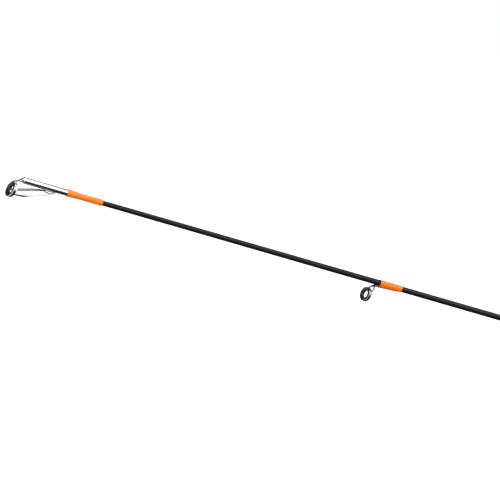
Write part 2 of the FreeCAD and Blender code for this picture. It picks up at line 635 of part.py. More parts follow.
drawOutline(flat, rectangle(seatRear + " + size.channel_start", hoodMouth,
                            "-size.seat_dia", "-" + flatLevel))
extrude(seat, "flat", flat, cut=True, both=True)
slot = newSketch(seat, "YZ_Plane", "keyway_end", along=seatRear)
drawOutline(slot, rectangle("-size.keyway_width / 2", "size.keyway_width / 2",
                            crest + " - size.keyway_depth", crest + " + size.overrun"))
extrude(seat, "keyway", slot, length="size.keyway_length", cut=True, backwards=True)
mouthDisc = ("0", "-size.hood_mouth_drop", hoodBore + " + size.hood_mouth_wall")
slimDisc = ("0", "0", hoodBore + " + size.hood_wall")


def pocketStations(mouth, end):
    """The wedge that takes one end of a reel's foot."""
    return [(mouth, "size.pocket_width / 2", "-" + pocketLevel, "-" + flatLevel),
            (end, "size.pocket_end_width / 2", "-" + pocketEndLevel, "-" + flatLevel)]


def linerStations(mouth, end):
    """A thin pad on the pocket's outer face."""
    sheetIn = " + size.liner_sheet"
    return [(mouth, "size.pocket_width / 2", "-" + pocketLevel, "-" + pocketLevel + sheetIn),
            (end, "size.pocket_end_width / 2", "-" + pocketEndLevel, "-" + pocketEndLevel + sheetIn)]


fixedEnd = hoodMouth + " + size.pocket_depth"
loft(seat, "fixed_hood", discs(seat, "fixed_hood", [(hoodMouth,) + mouthDisc, (seatFront,) + slimDisc]))
loft(seat, "fixed_pocket", slabs(seat, "fixed_pocket", pocketStations(hoodMouth, fixedEnd)), cut=True)
turn(seat, "seat_hole", [
    (seatRear + " - size.overrun", "size.seat_bore / 2"),
    (seatFront + " + size.overrun", "size.seat_bore / 2"),
    (seatFront + " + size.overrun", "0"), (seatRear + " - size.overrun", "0")], cut=True)
keep(seat, "reel_seat")
fixedLiner = newBody("fixed_hood_liner")
loft(fixedLiner, "fixed_liner_pad", slabs(fixedLiner, "fixed_liner", linerStations(hoodMouth, fixedEnd)))
keep(fixedLiner, "fixed_hood_liner")

# Bushings that centre the blank in the seat.
for label, rear in (("rear_arbor", seatRear + " + size.arbor_inset"),
                    ("front_arbor", seatFront + " - size.arbor_inset - size.arbor_length")):
    front = rear + " + size.arbor_length"
    turned(label, [(rear, "size.seat_bore / 2"), (front, "size.seat_bore / 2"),
                   (front, blankRadius(front)), (rear, blankRadius(rear))])

# The moving hood: slides on the barrel, keyed above, with its pocket facing the fixed hood.
hoodRear = seatRear + " + size.hood_start"
hoodFront = hoodRear + " + size.hood_length"
hood = newBody("moving_hood")
loft(hood, "hood_shell", discs(hood, "hood_shell", [(hoodRear,) + slimDisc, (hoodFront,) + mouthDisc]))
pocketEnd = hoodFront + " - size.pocket_depth"
loft(hood, "hood_pocket", slabs(hood, "hood_pocket", pocketStations(hoodFront, pocketEnd)), cut=True)
turn(hood, "hood_hole", [
    (hoodRear + " - size.overrun", hoodBore), (hoodFront + " + size.overrun", hoodBore),
    (hoodFront + " + size.overrun", "0"), (hoodRear + " - size.overrun", "0")], cut=True)
keyEnd = newSketch(hood, "YZ_Plane", "key_end", along=hoodRear)
drawOutline(keyEnd, rectangle("-size.keyway_width / 2 + size.key_gap", "size.keyway_width / 2 - size.key_gap",
                              crest + " - size.keyway_depth + size.key_gap", hoodBore + " + size.key_root"))
extrude(hood, "key", keyEnd, length="size.key_length")
keep(hood, "moving_hood")
hoodLiner = newBody("moving_hood_liner")
loft(hoodLiner, "hood_liner_pad", slabs(hoodLiner, "hood_liner", linerStations(hoodFront, pocketEnd)))
keep(hoodLiner, "moving_hood_liner")

# The lock nut: turns on the seat's thread and pushes the moving hood.
nutFront = hoodRear + " - size.nut_gap"
nutRear = nutFront + " - size.nut_length"
nutRadius = "(%s + size.nut_wall)" % hoodBore
nut = newBody("lock_nut")
turn(nut, "nut_round", [
    (nutRear, nutRadius + " - size.nut_edge"), (nutRear + " + size.nut_edge", nutRadius),
    (nutFront + " - size.nut_edge", nutRadius), (nutFront, nutRadius + " - size.nut_edge"),
    (nutFront, hoodBore), (nutRear, hoodBore)])
flute = newSketch(nut, "YZ_Plane", "flute_end", along=nutRear)
drawCircle(flute, "0", nutRadius + " + size.flute_dia / 4", "size.flute_dia / 2")
fluteCut = extrude(nut, "flute", flute, length="size.nut_length", cut=True, backwards=True)
flutes = nut.newObject("PartDesign::PolarPattern", "flutes")
flutes.Originals = [fluteCut]
flutes.Axis = (originPart(nut, "X_Axis"), [""])
flutes.Angle = 360
flutes.setExpression("Occurrences", "size.flute_count")
nut.Tip = flutes
keep(nut, "lock_nut")

# The front of the handle: trim ring, foregrip, winding check and a trim wrap.
turned("foregrip_trim", tube(seatFront, foregripRear, "size.foregrip_dia / 2 + size.foregrip_trim_step"))
turned("foregrip", gripOutline(foregripRear, foregripFront, "size.foregrip_dia / 2",
                               "size.foregrip_front_dia / 2", "size.foregrip_bow"))
turned("winding_check", [
    (foregripFront, "size.check_dia / 2 - size.trim_edge"),
    (foregripFront + " + size.trim_edge", "size.check_dia / 2"),
    (foregripFront + " + size.check_length * 0.3", "size.check_dia / 2"),
    (checkFront, "size.check_front_dia / 2"), (checkFront, blankRadius(checkFront)),
    (foregripFront, blankRadius(foregripFront))])
handleWrapFront = checkFront + " + size.handle_wrap_length"
for label, front, build, swell in (
        ("handle_thread_round", handleWrapFront + " - size.thread_inset", "size.thread_build", "0"),
        ("handle_coat_round", handleWrapFront, "(size.thread_build + size.coat_build)", "size.coat_swell")):
    body = newBody(label)
    turn(body, label + "_turn", [
        (checkFront, blankRadius(checkFront) + " + " + build + " * 1.2"),
        (front + " - size.coat_edge", blankRadius(front) + " + " + build + " + " + swell, coatBow),
        (front, blankRadius(front)), (front, "0"), (checkFront, "0")])
handleThread = document.getObject("handle_thread_round")
trimmed("handle_wrap", handleThread, [blank])
trimmed("handle_coat", document.getObject("handle_coat_round"), [handleThread, blank])

document.recompute()
failed = [thing.Name for thing in document.Objects if {"Invalid", "Error"} & set(thing.State)]
if failed:
    raise RuntimeError("features that failed: " + ", ".join(failed))
for label, piece in subparts.items():
    if piece.Shape.isNull() or not piece.Shape.isValid() or not piece.Shape.Solids:
        raise RuntimeError("no valid solid in " + label)

os.makedirs("parts", exist_ok=True)
for label, piece in subparts.items():
    piece.Shape.exportStep("parts/%s.step" % label)
    box = piece.Shape.BoundBox
    print("%-18s %8.3f mm3  x %7.2f %7.2f  z %7.2f %7.2f  solids %d" % (
        label, piece.Shape.Volume, box.XMin, box.XMax, box.ZMin, box.ZMax, len(piece.Shape.Solids)))
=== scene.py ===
import math

import bpy
import numpy as np
from mathutils import Matrix, Vector


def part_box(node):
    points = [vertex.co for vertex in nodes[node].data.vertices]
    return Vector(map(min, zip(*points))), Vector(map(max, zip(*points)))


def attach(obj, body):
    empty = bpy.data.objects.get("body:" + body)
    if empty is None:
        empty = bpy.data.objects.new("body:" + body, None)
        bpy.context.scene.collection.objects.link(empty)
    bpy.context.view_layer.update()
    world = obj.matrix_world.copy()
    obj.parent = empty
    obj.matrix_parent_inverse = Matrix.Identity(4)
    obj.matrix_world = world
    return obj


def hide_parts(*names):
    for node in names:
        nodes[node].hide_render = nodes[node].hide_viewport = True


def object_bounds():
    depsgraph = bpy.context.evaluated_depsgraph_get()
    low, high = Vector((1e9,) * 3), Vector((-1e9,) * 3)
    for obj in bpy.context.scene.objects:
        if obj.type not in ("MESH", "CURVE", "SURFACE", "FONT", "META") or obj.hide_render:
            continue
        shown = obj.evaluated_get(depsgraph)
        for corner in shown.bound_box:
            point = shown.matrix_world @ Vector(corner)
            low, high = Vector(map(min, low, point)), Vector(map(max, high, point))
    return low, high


# An ice fishing rod: dark tapered blank, orange thread wraps, chrome tip ring, smoked guides and a
# split foam handle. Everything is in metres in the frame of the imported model: +X runs to the tip,
# +Z is up, and the guides hang on the -Z side. Shape values below are in millimetres.

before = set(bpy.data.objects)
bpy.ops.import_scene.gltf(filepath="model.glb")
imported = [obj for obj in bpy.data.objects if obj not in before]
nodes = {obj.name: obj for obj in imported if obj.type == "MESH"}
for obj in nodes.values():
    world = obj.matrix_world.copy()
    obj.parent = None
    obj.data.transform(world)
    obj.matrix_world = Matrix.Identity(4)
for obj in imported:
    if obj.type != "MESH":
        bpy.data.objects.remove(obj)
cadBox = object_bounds()
scene = bpy.context.scene
mm = 0.001


# Lowest and highest corner of a CAD node, in millimetres.
def corners(node):
    low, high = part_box(node)
    return np.array(low) / mm, np.array(high) / mm


tip = corners("tip_tube")[1][0]


# One socket of a node tree, with arithmetic between sockets and numbers.
class Wire:
    def __init__(self, tree, socket=None):
        self.tree = tree
        self.socket = socket

    # Makes any node: its settings first, then the values or links of its sockets.
    def make(self, kind, settings, values, output=0):
        node = self.tree.nodes.new(kind)
        for name, setting in settings.items():
            if name == "stops":
                for place, tint in setting[1:-1]:
                    node.color_ramp.elements.new(place)
                for element, (place, tint) in zip(node.color_ramp.elements, setting):
                    element.position = place
                    element.color = tint
            else:
                setattr(node, name, setting)
        for name, given in values.items():
            if isinstance(given, Wire):
                self.tree.links.new(given.socket, node.inputs[name])
            else:
                node.inputs[name].default_value = given
        return Wire(self.tree, node.outputs[output] if node.outputs else None)

    def math(self, operation, *values):
        return self.make("ShaderNodeMath", {"operation": operation}, dict(enumerate(values)))

    def __add__(self, other):
        return self.math("ADD", self, other)

    def __radd__(self, other):
        return self.math("ADD", other, self)

    def __sub__(self, other):
        return self.math("SUBTRACT", self, other)

    def __rsub__(self, other):
        return self.math("SUBTRACT", other, self)

    def __mul__(self, other):
        return self.math("MULTIPLY", self, other)

    def __rmul__(self, other):
        return self.math("MULTIPLY", other, self)

    def __truediv__(self, other):
        return self.math("DIVIDE", self, other)

    def __rtruediv__(self, other):
        return self.math("DIVIDE", other, self)

    def __pow__(self, other):
        return self.math("POWER", self, other)

    def __rpow__(self, other):
        return self.math("POWER", other, self)

    def __neg__(self):
        return self.math("MULTIPLY", self, -1.0)

    # This wire, from 0 to 1, goes between two colours.
    def between(self, first, second):
        return self.make("ShaderNodeMix", {"data_type": "RGBA"}, {0: self, 6: first, 7: second}, 2)

    # One part of this wire's x y z place: 0, 1 or 2.
    def part(self, axis):
        return self.make("ShaderNodeSeparateXYZ", {}, {0: self}, axis)

    # A saw-tooth that climbs from 0 to 1 and back once for each whole number of this wire.
    def zigzag(self):
        return self.math("PINGPONG", self, 0.5) * 2.0

    # How far this wire has gone from one value to another, from 0 to 1.
    def climb(self, low, high):
        return self.make("ShaderNodeMapRange", {"clamp": True}, {0: self, 1: low, 2: high, 3: 0.0, 4: 1.0})

    # Noise on coordinates that are first stretched by three factors, in features per metre.
    def noise(self, stretch, detail=3.0):
        spread = self.make("ShaderNodeVectorMath", {"operation": "MULTIPLY"}, {0: self, 1: stretch})
        return self.make("ShaderNodeTexNoise", {}, {"Vector": spread, "Scale": 1.0, "Detail": detail})

    # A surface normal that follows this wire as a height, with 1 as deep as the distance.
    def relief(self, distance, strength=1.0):
        settings = {"Height": self, "Distance": distance, "Strength": strength}
        return self.make("ShaderNodeBump", {}, settings)

    # This wire, an x y z place, in turns of a helix about the rod's axis.
    def helix(self, pitch):
        return self.part(0) / pitch + self.math("ARCTAN2", self.part(2), self.part(1)) / math.tau


def shade(red, green, blue):
    return (red, green, blue, 1.0)


# A material whose principled shader takes the sockets that a function of the place gives.
def finish(name, socketsAt):
    made = bpy.data.materials.new(name)
    made.use_nodes = True
    made.node_tree.nodes.clear()
    start = Wire(made.node_tree)
    place = start.make("ShaderNodeTexCoord", {}, {}, "Object")
    surface = start.make("ShaderNodeBsdfPrincipled", {}, socketsAt(place))
    start.make("ShaderNodeOutputMaterial", {}, {"Surface": surface})
    return made


finishes = {
    "tapePitch": 2.3 * mm,       # spiral left on the blank by its shrink tape
    "threadPitch": 0.17 * mm,    # one turn of winding thread
    "lathePitch": 0.09 * mm,     # turning marks on the trim rings
    "mouldPitch": 0.8 * mm,      # tooling rings on the butt cap's face
    "coatGlare": 0.7,            # share of the clear coat's mirror light that is kept
}


# Satin carbon: fibres along the blank, faint tape spiral, soft mottling.
def carbonAt(place):
    fibre = place.noise((60.0, 5200.0, 5200.0), 2.0)
    mottle = place.noise((420.0, 900.0, 900.0), 4.0)
    seam = place.helix(finishes["tapePitch"]).zigzag()
    tone = fibre * 0.45 + mottle * 0.5 + seam * 0.12 - 0.1
    return {
        "Base Color": tone.between(shade(0.003, 0.003, 0.0045), shade(0.011, 0.0115, 0.016)),
        "Roughness": mottle * 0.20 + 0.22,
        "Specular IOR Level": 0.24,
        "Specular Tint": shade(0.80, 0.86, 1.0),
        "Coat Weight": 0.06,
        "Coat Roughness": 0.15,
        "Normal": (seam * 0.5 + fibre * 0.5).relief(0.012 * mm, 0.6),
    }


# Polished chrome with faint haze and drawing marks.
def chromeAt(place):
    haze = place.noise((900.0, 900.0, 900.0), 4.0)
    drawn = place.noise((150.0, 9000.0, 9000.0), 2.0)
    return {
        "Base Color": haze.between(shade(0.80, 0.80, 0.81), shade(0.90, 0.90, 0.91)),
        "Metallic": 1.0,
        "Roughness": haze * 0.05 + drawn * 0.05 + 0.02,
        "Normal": drawn.relief(0.002 * mm, 0.35),
    }


# Smoked chrome on stamped steel: darker, a little uneven.
def smokedAt(place):
    haze = place.noise((1400.0, 1400.0, 1400.0), 4.0)
    rolled = place.noise((400.0, 7000.0, 1500.0), 3.0)
    return {
        "Base Color": haze.between(shade(0.25, 0.26, 0.29), shade(0.42, 0.44, 0.48)),
        "Metallic": 1.0,
        "Roughness": rolled * 0.12 + haze * 0.06 + 0.04,
        "Normal": rolled.relief(0.006 * mm, 0.5),
    }


# Dark polished ceramic.
def ceramicAt(place):
    grain = place.noise((5200.0, 5200.0, 5200.0), 3.0)
    return {
        "Base Color": grain.between(shade(0.005, 0.005, 0.006), shade(0.018, 0.017, 0.019)),
        "Roughness": grain * 0.10 + 0.12,
        "Specular IOR Level": 0.42,
        "Coat Weight": 0.10,
        "Coat Roughness": 0.08,
        "Normal": grain.relief(0.002 * mm, 0.4),
    }


# Wound nylon: the colour paints a highlight on each turn's crown and shade in the gap between turns, over
# twisted filaments.
def threadAt(place):
    crownHeightAndShading = place.helix(finishes["threadPitch"]).zigzag() ** 0.6
    filament = place.noise((26000.0, 4200.0, 4200.0), 2.0)
    dye = place.noise((500.0, 500.0, 500.0), 3.0)
    # The crown term is painted highlight and painted shade; filament and dye are the thread's own tone.
    tone = crownHeightAndShading * 0.55 + filament * 0.25 + dye * 0.3
    return {
        "Base Color": tone.between(shade(0.99, 0.17, 0.002), shade(1.0, 0.30, 0.008)),
        "Roughness": filament * 0.2 + 0.34,
        "Specular IOR Level": 0.10,
        "Normal": (crownHeightAndShading + filament * 0.3).relief(0.02 * mm, 0.5),
    }


# Anodised aluminium: turning marks, and paler where the edges have worn.
def anodisedAt(place):
    marks = (place.part(0) / finishes["lathePitch"]).zigzag()
    cloud = place.noise((700.0, 700.0, 700.0), 4.0)
    scuff = place.noise((3500.0, 3500.0, 3500.0), 5.0)
    wear = place.make("ShaderNodeAttribute", {"attribute_name": "wear"}, {}, "Fac")
    worn = place.math("MULTIPLY", wear, scuff.math("SMOOTH_MIN", scuff * 1.5, 1.0, 0.1))
    tinted = cloud.between(shade(0.80, 0.15, 0.010), shade(0.98, 0.26, 0.025))
    return {
        "Base Color": (worn * 0.8).between(tinted, shade(0.93, 0.66, 0.50)),
        "Metallic": 1.0,
        "Roughness": marks * 0.06 + cloud * 0.12 + 0.16,
        "Normal": marks.relief(0.004 * mm, 0.6),
    }


# Closed-cell foam: fine pits, slightly lighter where hands have rubbed it.
def foamAt(place):
    cells = place.make("ShaderNodeTexVoronoi", {}, {"Vector": place, "Scale": 2600.0}, "Distance")
    fine = place.noise((6000.0, 6000.0, 6000.0), 3.0)
    rubbed = place.noise((90.0, 160.0, 160.0), 4.0)
    tone = rubbed * 0.6 + fine * 0.5 - 0.1
    return {
        "Base Color": tone.between(shade(0.014, 0.014, 0.016), shade(0.050, 0.050, 0.054)),
        "Roughness": fine * 0.15 + rubbed * 0.1 + 0.66,
        "Specular IOR Level": 0.35,
        "Normal": (cells * 0.8 + fine * 0.5).relief(0.05 * mm, 0.8),
    }


# Glass-filled plastic with a fine spark-eroded grain.
def seatAt(place):
    grain = place.noise((4200.0, 4200.0, 4200.0), 4.0)
    flow = place.noise((120.0, 400.0, 400.0), 3.0)
    tone = flow * 0.7 + grain * 0.3
    return {
        "Base Color": tone.between(shade(0.016, 0.016, 0.018), shade(0.046, 0.046, 0.050)),
        "Roughness": grain * 0.16 + flow * 0.1 + 0.28,
        "Normal": grain.relief(0.018 * mm, 0.6),
    }


# The nut's plastic: duller, with rubbed patches.
def nutAt(place):
    grain = place.noise((5200.0, 5200.0, 5200.0), 3.0)
    rubbed = place.noise((300.0, 500.0, 500.0), 4.0)
    tone = rubbed * 0.8 + grain * 0.2
    return {
        "Base Color": tone.between(shade(0.022, 0.022, 0.025), shade(0.062, 0.062, 0.068)),
        "Roughness": grain * 0.15 + rubbed * 0.15 + 0.32,
        "Normal": grain.relief(0.016 * mm, 0.6),
    }


# Soft rubber pad.
def cushionAt(place):
    grain = place.noise((3800.0, 3800.0, 3800.0), 4.0)
    return {
        "Base Color": grain.between(shade(0.05, 0.05, 0.05), shade(0.11, 0.11, 0.11)),
        "Roughness": grain * 0.2 + 0.7,
        "Normal": grain.relief(0.03 * mm, 0.7),
    }


# Rigid cream foam of the bushings.
def arborAt(place):
    cells = place.make("ShaderNodeTexVoronoi", {}, {"Vector": place, "Scale": 1800.0}, "Distance")
    cloud = place.noise((400.0, 400.0, 400.0), 3.0)
    return {
        "Base Color": cloud.between(shade(0.60, 0.52, 0.38), shade(0.80, 0.73, 0.58)),
        "Roughness": cloud * 0.1 + 0.8,
        "Normal": cells.relief(0.08 * mm, 0.8),
    }


# Moulded rubber of the butt cap: concentric tooling rings under a fine pebble.
def rubberAt(place):
    across, up = place.part(1), place.part(2)
    rings = ((across * across + up * up) ** 0.5 / finishes["mouldPitch"]).zigzag()
    pebble = place.noise((3000.0, 3000.0, 3000.0), 4.0)
    dust = place.noise((220.0, 220.0, 220.0), 4.0)
    return {
        "Base Color": dust.between(shade(0.012, 0.012, 0.012), shade(0.042, 0.041, 0.040)),
        "Roughness": pebble * 0.2 + dust * 0.1 + 0.5,
        "Normal": (rings * 0.25 + pebble).relief(0.04 * mm, 0.6),
    }


carbon = finish("carbon", carbonAt)
chrome = finish("chrome", chromeAt)
smoked = finish("smoked_chrome", smokedAt)
ceramic = finish("ceramic", ceramicAt)
thread = finish("thread", threadAt)
anodised = finish("anodised", anodisedAt)
foam = finish("foam", foamAt)
seatPlastic = finish("seat_plastic", seatAt)
nutPlastic = finish("nut_plastic", nutAt)
cushion = finish("cushion", cushionAt)
arbor = finish("arbor_foam", arborAt)
rubber = finish("rubber", rubberAt)

# Clear epoxy over the thread: see-through, with a gloss that grows towards grazing angles.
epoxy = bpy.data.materials.new("epoxy")
epoxy.use_nodes = True
epoxy.node_tree.nodes.clear()
epoxyStart = Wire(epoxy.node_tree)
epoxyPlace = epoxyStart.make("ShaderNodeTexCoord", {}, {}, "Object")
epoxyWave = epoxyPlace.noise((420.0, 700.0, 700.0), 2.0)
epoxyNormal = epoxyWave.relief(0.03 * mm, 0.5)
epoxyClear = epoxyStart.make("ShaderNodeBsdfTransparent", {}, {"Color": shade(1.0, 0.97, 0.90)})
epoxyGloss = epoxyStart.make("ShaderNodeBsdfAnisotropic", {}, {
    "Color": shade(1.0, 1.0, 1.0), "Roughness": epoxyWave * 0.08 + 0.10, "Normal": epoxyNormal})
epoxyShare = epoxyStart.make("ShaderNodeFresnel", {}, {"IOR": 1.55, "Normal": epoxyNormal})
epoxyShare = epoxyShare * finishes["coatGlare"]
epoxySurface = epoxyStart.make("ShaderNodeMixShader", {}, {0: epoxyShare, 1: epoxyClear, 2: epoxyGloss})
epoxyStart.make("ShaderNodeOutputMaterial", {}, {"Surface": epoxySurface})
print("Finishes made.")


# Faces of a grid that closes round its columns. A loop also joins its last row to its first; any
# other grid gets a flat cap at each end. Faces are turned so that they point outward.
def faced(grid, loop, first):
    rows, columns = grid.shape[:2]
    number = np.arange(rows * columns).reshape(rows, columns)
    closed = np.hstack([number, number[:, :1]])
    if loop:
        closed = np.vstack([closed, closed[:1]])
    quads = np.stack([closed[:-1, :-1], closed[1:, :-1], closed[1:, 1:], closed[:-1, 1:]], -1)
    quads = quads.reshape(-1, 4)
    caps = [] if loop else [number[0], number[-1, ::-1]]
    points = grid.reshape(-1, 3) - grid.reshape(-1, 3).mean(0)
    a, b, c, d = (points[quads[:, side]] for side in range(4))
    if np.sum(a * (np.cross(b, c) + np.cross(c, d))) < 0:
        quads = quads[:, ::-1]
        caps = [cap[::-1] for cap in caps]
    return (quads + first).tolist() + [(cap + first).tolist() for cap in caps]


# One object from one or more grids, in millimetres. Wear is a number per point, from 0 to 1.
def skin(name, grids, material, body, stands, loops=True, wear=None, sharp=42.0):
    loops = [loops] * len(grids) if isinstance(loops, bool) else loops
    faces, first = [], 0
    for grid, loop in zip(grids, loops):
        faces += faced(grid, loop, first)
        first += grid.shape[0] * grid.shape[1]
    points = np.concatenate([grid.reshape(-1, 3) for grid in grids]) * mm
    mesh = bpy.data.meshes.new(name)
    mesh.from_pydata(points, [], faces)
    mesh.polygons.foreach_set("use_smooth", np.ones(len(mesh.polygons), bool))
    mesh.set_sharp_from_angle(angle=math.radians(sharp))
    if wear is not None:
        worn = mesh.attributes.new("wear", "FLOAT", "POINT")
        worn.data.foreach_set("value", wear.astype(np.float32).ravel())
    mesh.materials.append(material)
    piece = bpy.data.objects.new(name, mesh)
    scene.collection.objects.link(piece)
    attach(piece, body)
    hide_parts(*stands)
    return piece


# A profile of (along, reach) rows turned about an axis through a centre:
# point = centre + along * axis + reach * (cos turn * side + sin turn * up).
# Reach may also be a grid of rows by columns.
def turned(along, reach, columns=64, centre=(0.0, 0.0, 0.0), lean=0.0):
    turn = np.linspace(0, math.tau, columns, endpoint=False)
    tilt = math.radians(lean)
    axis = np.array([math.cos(tilt), 0.0, math.sin(tilt)])
    up = np.array([-math.sin(tilt), 0.0, math.cos(tilt)])
    spokes = np.outer(np.cos(turn), (0.0, 1.0, 0.0)) + np.outer(np.sin(turn), up)
    reach = reach if np.ndim(reach) == 2 else np.asarray(reach)[:, None]
    reach = np.broadcast_to(reach, (len(along), columns))
    return np.array(centre) + np.asarray(along)[:, None, None] * axis + reach[:, :, None] * spokes[None]


# A closed outline of (along, reach) corners with each corner rounded by its own radius.
def softened(outline, rounding, steps=8):
    outline = np.array(outline, float)
    rounding = np.broadcast_to(np.array(rounding, float).reshape(-1, 1), (len(outline), 1))
    ends = []
    for other in (np.roll(outline, 1, 0), np.roll(outline, -1, 0)):
        run = other - outline
        length = np.linalg.norm(run, axis=1, keepdims=True)
        ends.append(outline + run / length * np.minimum(rounding, length * 0.48))
    share = np.linspace(0, 1, steps)[None, :, None]
    before, at, after = ends[0][:, None], outline[:, None], ends[1][:, None]
    arc = (1 - share) ** 2 * before + 2 * share * (1 - share) * at + share ** 2 * after
    return arc.reshape(-1, 2)


# The outside of a sleeve with quarter-round ends, and its inner ends, as along and reach.
# Rows crowd towards the ends, where the rounding is.
def sleeve(rear, front, outside, edge, inside, rows=90):
    along = rear + (front - rear) * (1 - np.cos(np.linspace(0, np.pi, rows))) / 2
    short = 1 - np.clip(np.minimum(along - rear, front - along) / edge, 0, 1)
    reach = outside(along) - edge * (1 - np.sqrt(1 - short ** 2))
    return np.r_[rear, along, front], np.r_[inside, reach, inside]


# A smooth curve through control rows: each stretch is the cubic whose end slopes are half the
# step between its neighbours.
def smoothed(rows, count):
    rows = np.array(rows, float)
    padded = np.vstack([2 * rows[0] - rows[1], rows, 2 * rows[-1] - rows[-2]])
    place = np.linspace(0, len(rows) - 1, count)
    left = np.minimum(place.astype(int), len(rows) - 2)
    share = (place - left)[:, None]
    a, b, c, d = (padded[left + step] for step in range(4))
    return 0.5 * (2 * b + (c - a) * share + (2 * a - 5 * b + 4 * c - d) * share ** 2
                  + (3 * b - a - 3 * c + d) * share ** 3)


# Rounded-rectangle sections carried along control rows (x, y, z, half width, half height). The
# width lies across the path and along the given side; fullness 1 is round, and less is boxier.
def carried(rows, side, fullness=1.0, count=60, columns=24, blunt=0.3):
    track = smoothed(rows, count)
    path, half = track[:, :3], np.maximum(track[:, 3:], 0.02)
    ahead = np.gradient(path, axis=0)
    ahead /= np.linalg.norm(ahead, axis=1, keepdims=True)
    across = np.array(side, float) - ahead * (ahead @ np.array(side, float))[:, None]
    across /= np.linalg.norm(across, axis=1, keepdims=True)
    up = np.cross(ahead, across)
    turn = np.linspace(0, math.tau, columns, endpoint=False)
    shape = [np.sign(wave) * np.abs(wave) ** fullness for wave in (np.cos(turn), np.sin(turn))]
    run = np.r_[0, np.cumsum(np.linalg.norm(np.diff(path, axis=0), axis=1))]
    short = 1 - np.clip(np.minimum(run, run[-1] - run) / blunt, 0, 1)
    half = half * np.maximum(np.sqrt(1 - short ** 2), 0.08)[:, None]
    return (path[:, None] + half[:, 0, None, None] * shape[0][None, :, None] * across[:, None]
            + half[:, 1, None, None] * shape[1][None, :, None] * up[:, None])


blankSizes = {
    "tipRadius": 0.78, "breakRadius": 1.11, "buttRadius": 2.7,   # radii of its two tapers
    "breakBack": 202.0,                                          # where they meet, behind the tip
    "rear": 3.0,
    "tapePitch": 2.3, "tapeStep": 0.006,                         # spiral left by the shrink tape
}


def blankRadius(along):
    slim = tip - blankSizes["breakBack"]
    return np.interp(along, [blankSizes["rear"], slim, tip],
                     [blankSizes["buttRadius"], blankSizes["breakRadius"], blankSizes["tipRadius"]])


# Reach is the taper less a shallow saw-tooth that follows a helix.
blankAlong = np.linspace(corners("blank")[0][0], corners("blank")[1][0], 2400)
blankTurn = np.linspace(0, 1, 32, endpoint=False)
tapePhase = (blankAlong[:, None] / blankSizes["tapePitch"] + blankTurn[None, :]) % 1.0
blankReach = blankRadius(blankAlong)[:, None] - blankSizes["tapeStep"] * tapePhase ** 6
skin("blank_skin", [turned(blankAlong, blankReach, 32)], carbon, "rod", ["blank"], loops=False)
print("Blank made.")

tubeSizes = {"edge": 0.28, "rearEdge": 0.1, "inside": 0.86, "core": 0.08}
tubeLow, tubeHigh = corners("tip_tube")
tubeOutline = softened([(tubeLow[0], tubeSizes["inside"]), (tubeLow[0], tubeHigh[1]),
                        (tip, tubeHigh[1]), (tip, tubeSizes["core"])],
                       [0.02, tubeSizes["rearEdge"], tubeSizes["edge"], 0.01])
skin("tip_tube_skin", [turned(tubeOutline[:, 0], tubeOutline[:, 1], 64)], chrome, "rod", ["tip_tube"],
     loops=False)

tipRing = {
    "ahead": 2.95, "drop": 3.65, "lean": 10.0,       # front rim's middle from the tube's front end
    "rim": 2.61, "barrel": 2.40, "seat": 2.02, "bore": 1.15, "depth": 1.2, "rimWidth": 0.4,
    "armSpread": 1.95,                               # arms' distance from the middle at the ring
    "tabHalf": 0.72, "tabThick": 0.17,
    "padBack": 10.0, "padLength": 3.6, "padHalf": 0.56,
}
ringPlace = (tip + tipRing["ahead"], 0.0, -tipRing["drop"])
rimOutline = softened([
    (-tipRing["depth"], tipRing["seat"]), (-tipRing["depth"], tipRing["barrel"]),
    (-tipRing["rimWidth"] * 1.3, tipRing["barrel"]), (-tipRing["rimWidth"], tipRing["rim"]),
    (0.0, tipRing["rim"]), (0.0, tipRing["seat"])], [0.06, 0.14, 0.1, 0.12, 0.22, 0.1])
barrel = turned(rimOutline[:, 0], rimOutline[:, 1], 96, ringPlace, tipRing["lean"])
ringTop = -tipRing["drop"] + tipRing["barrel"]
ringBack = tip + tipRing["ahead"] - tipRing["depth"]
tabHalf, tabThick = tipRing["tabHalf"], tipRing["tabThick"]

# The neck tab: a collar in the tube's front end that flattens as it bends down over the barrel.
tab = carried([
    (tip - 0.9, 0.0, 0.10, 0.80, 0.72), (tip + 0.05, 0.0, 0.12, 0.76, 0.62),
    (tip + 0.55, 0.0, -0.16, tabHalf * 0.9, 0.40), (tip + 1.15, 0.0, -0.60, tabHalf * 0.85, 0.27),
    (ringBack + 0.1, 0.0, ringTop + 0.30, tabHalf, tabThick * 1.1),
    (tip + tipRing["ahead"] - 0.15, 0.0, ringTop + 0.06, tabHalf * 0.9, tabThick * 0.9)],
    (0, 1, 0), 0.7, 70, 32, 0.2)

# Two brace arms run back from the barrel and close in on the brazed pad under the tube.
farArm = carried([
    (ringBack + 0.35, -tipRing["armSpread"], -4.35, 0.42, 0.42), (tip - 2.05, -1.85, -3.40, 0.42, 0.40),
    (tip - 5.2, -1.30, -2.30, 0.40, 0.36), (tip - 8.0, -0.62, -1.56, 0.34, 0.32),
    (tip - 9.4, -0.20, -1.46, 0.24, 0.22)], (0, 1, 0), 1.0, 90, 24, 0.3)
nearArm = carried([
    (ringBack + 0.35, tipRing["armSpread"], -4.35, 0.42, 0.46), (tip - 1.2, 1.88, -4.00, 0.52, 0.56),
    (tip - 2.8, 1.80, -3.74, 0.26, 0.28), (tip - 6.0, 1.36, -2.98, 0.20, 0.20),
    (tip - 8.7, 0.95, -2.28, 0.19, 0.19), (tip - 11.6, 0.14, -1.26, 0.16, 0.15)],
    (0, 1, 0), 1.0, 110, 24, 0.3)
padMiddle = tip - tipRing["padBack"]
pad = carried([
    (padMiddle - tipRing["padLength"] / 2, 0, -1.00, 0.10, 0.08),
    (padMiddle - tipRing["padLength"] / 4, 0, -1.34, 0.40, 0.38),
    (padMiddle, 0, -1.52, tipRing["padHalf"], 0.52),
    (padMiddle + tipRing["padLength"] / 4, 0, -1.54, 0.46, 0.44),
    (padMiddle + tipRing["padLength"] / 2, 0, -1.50, 0.24, 0.22)], (0, 1, 0), 1.0, 60, 28, 0.1)
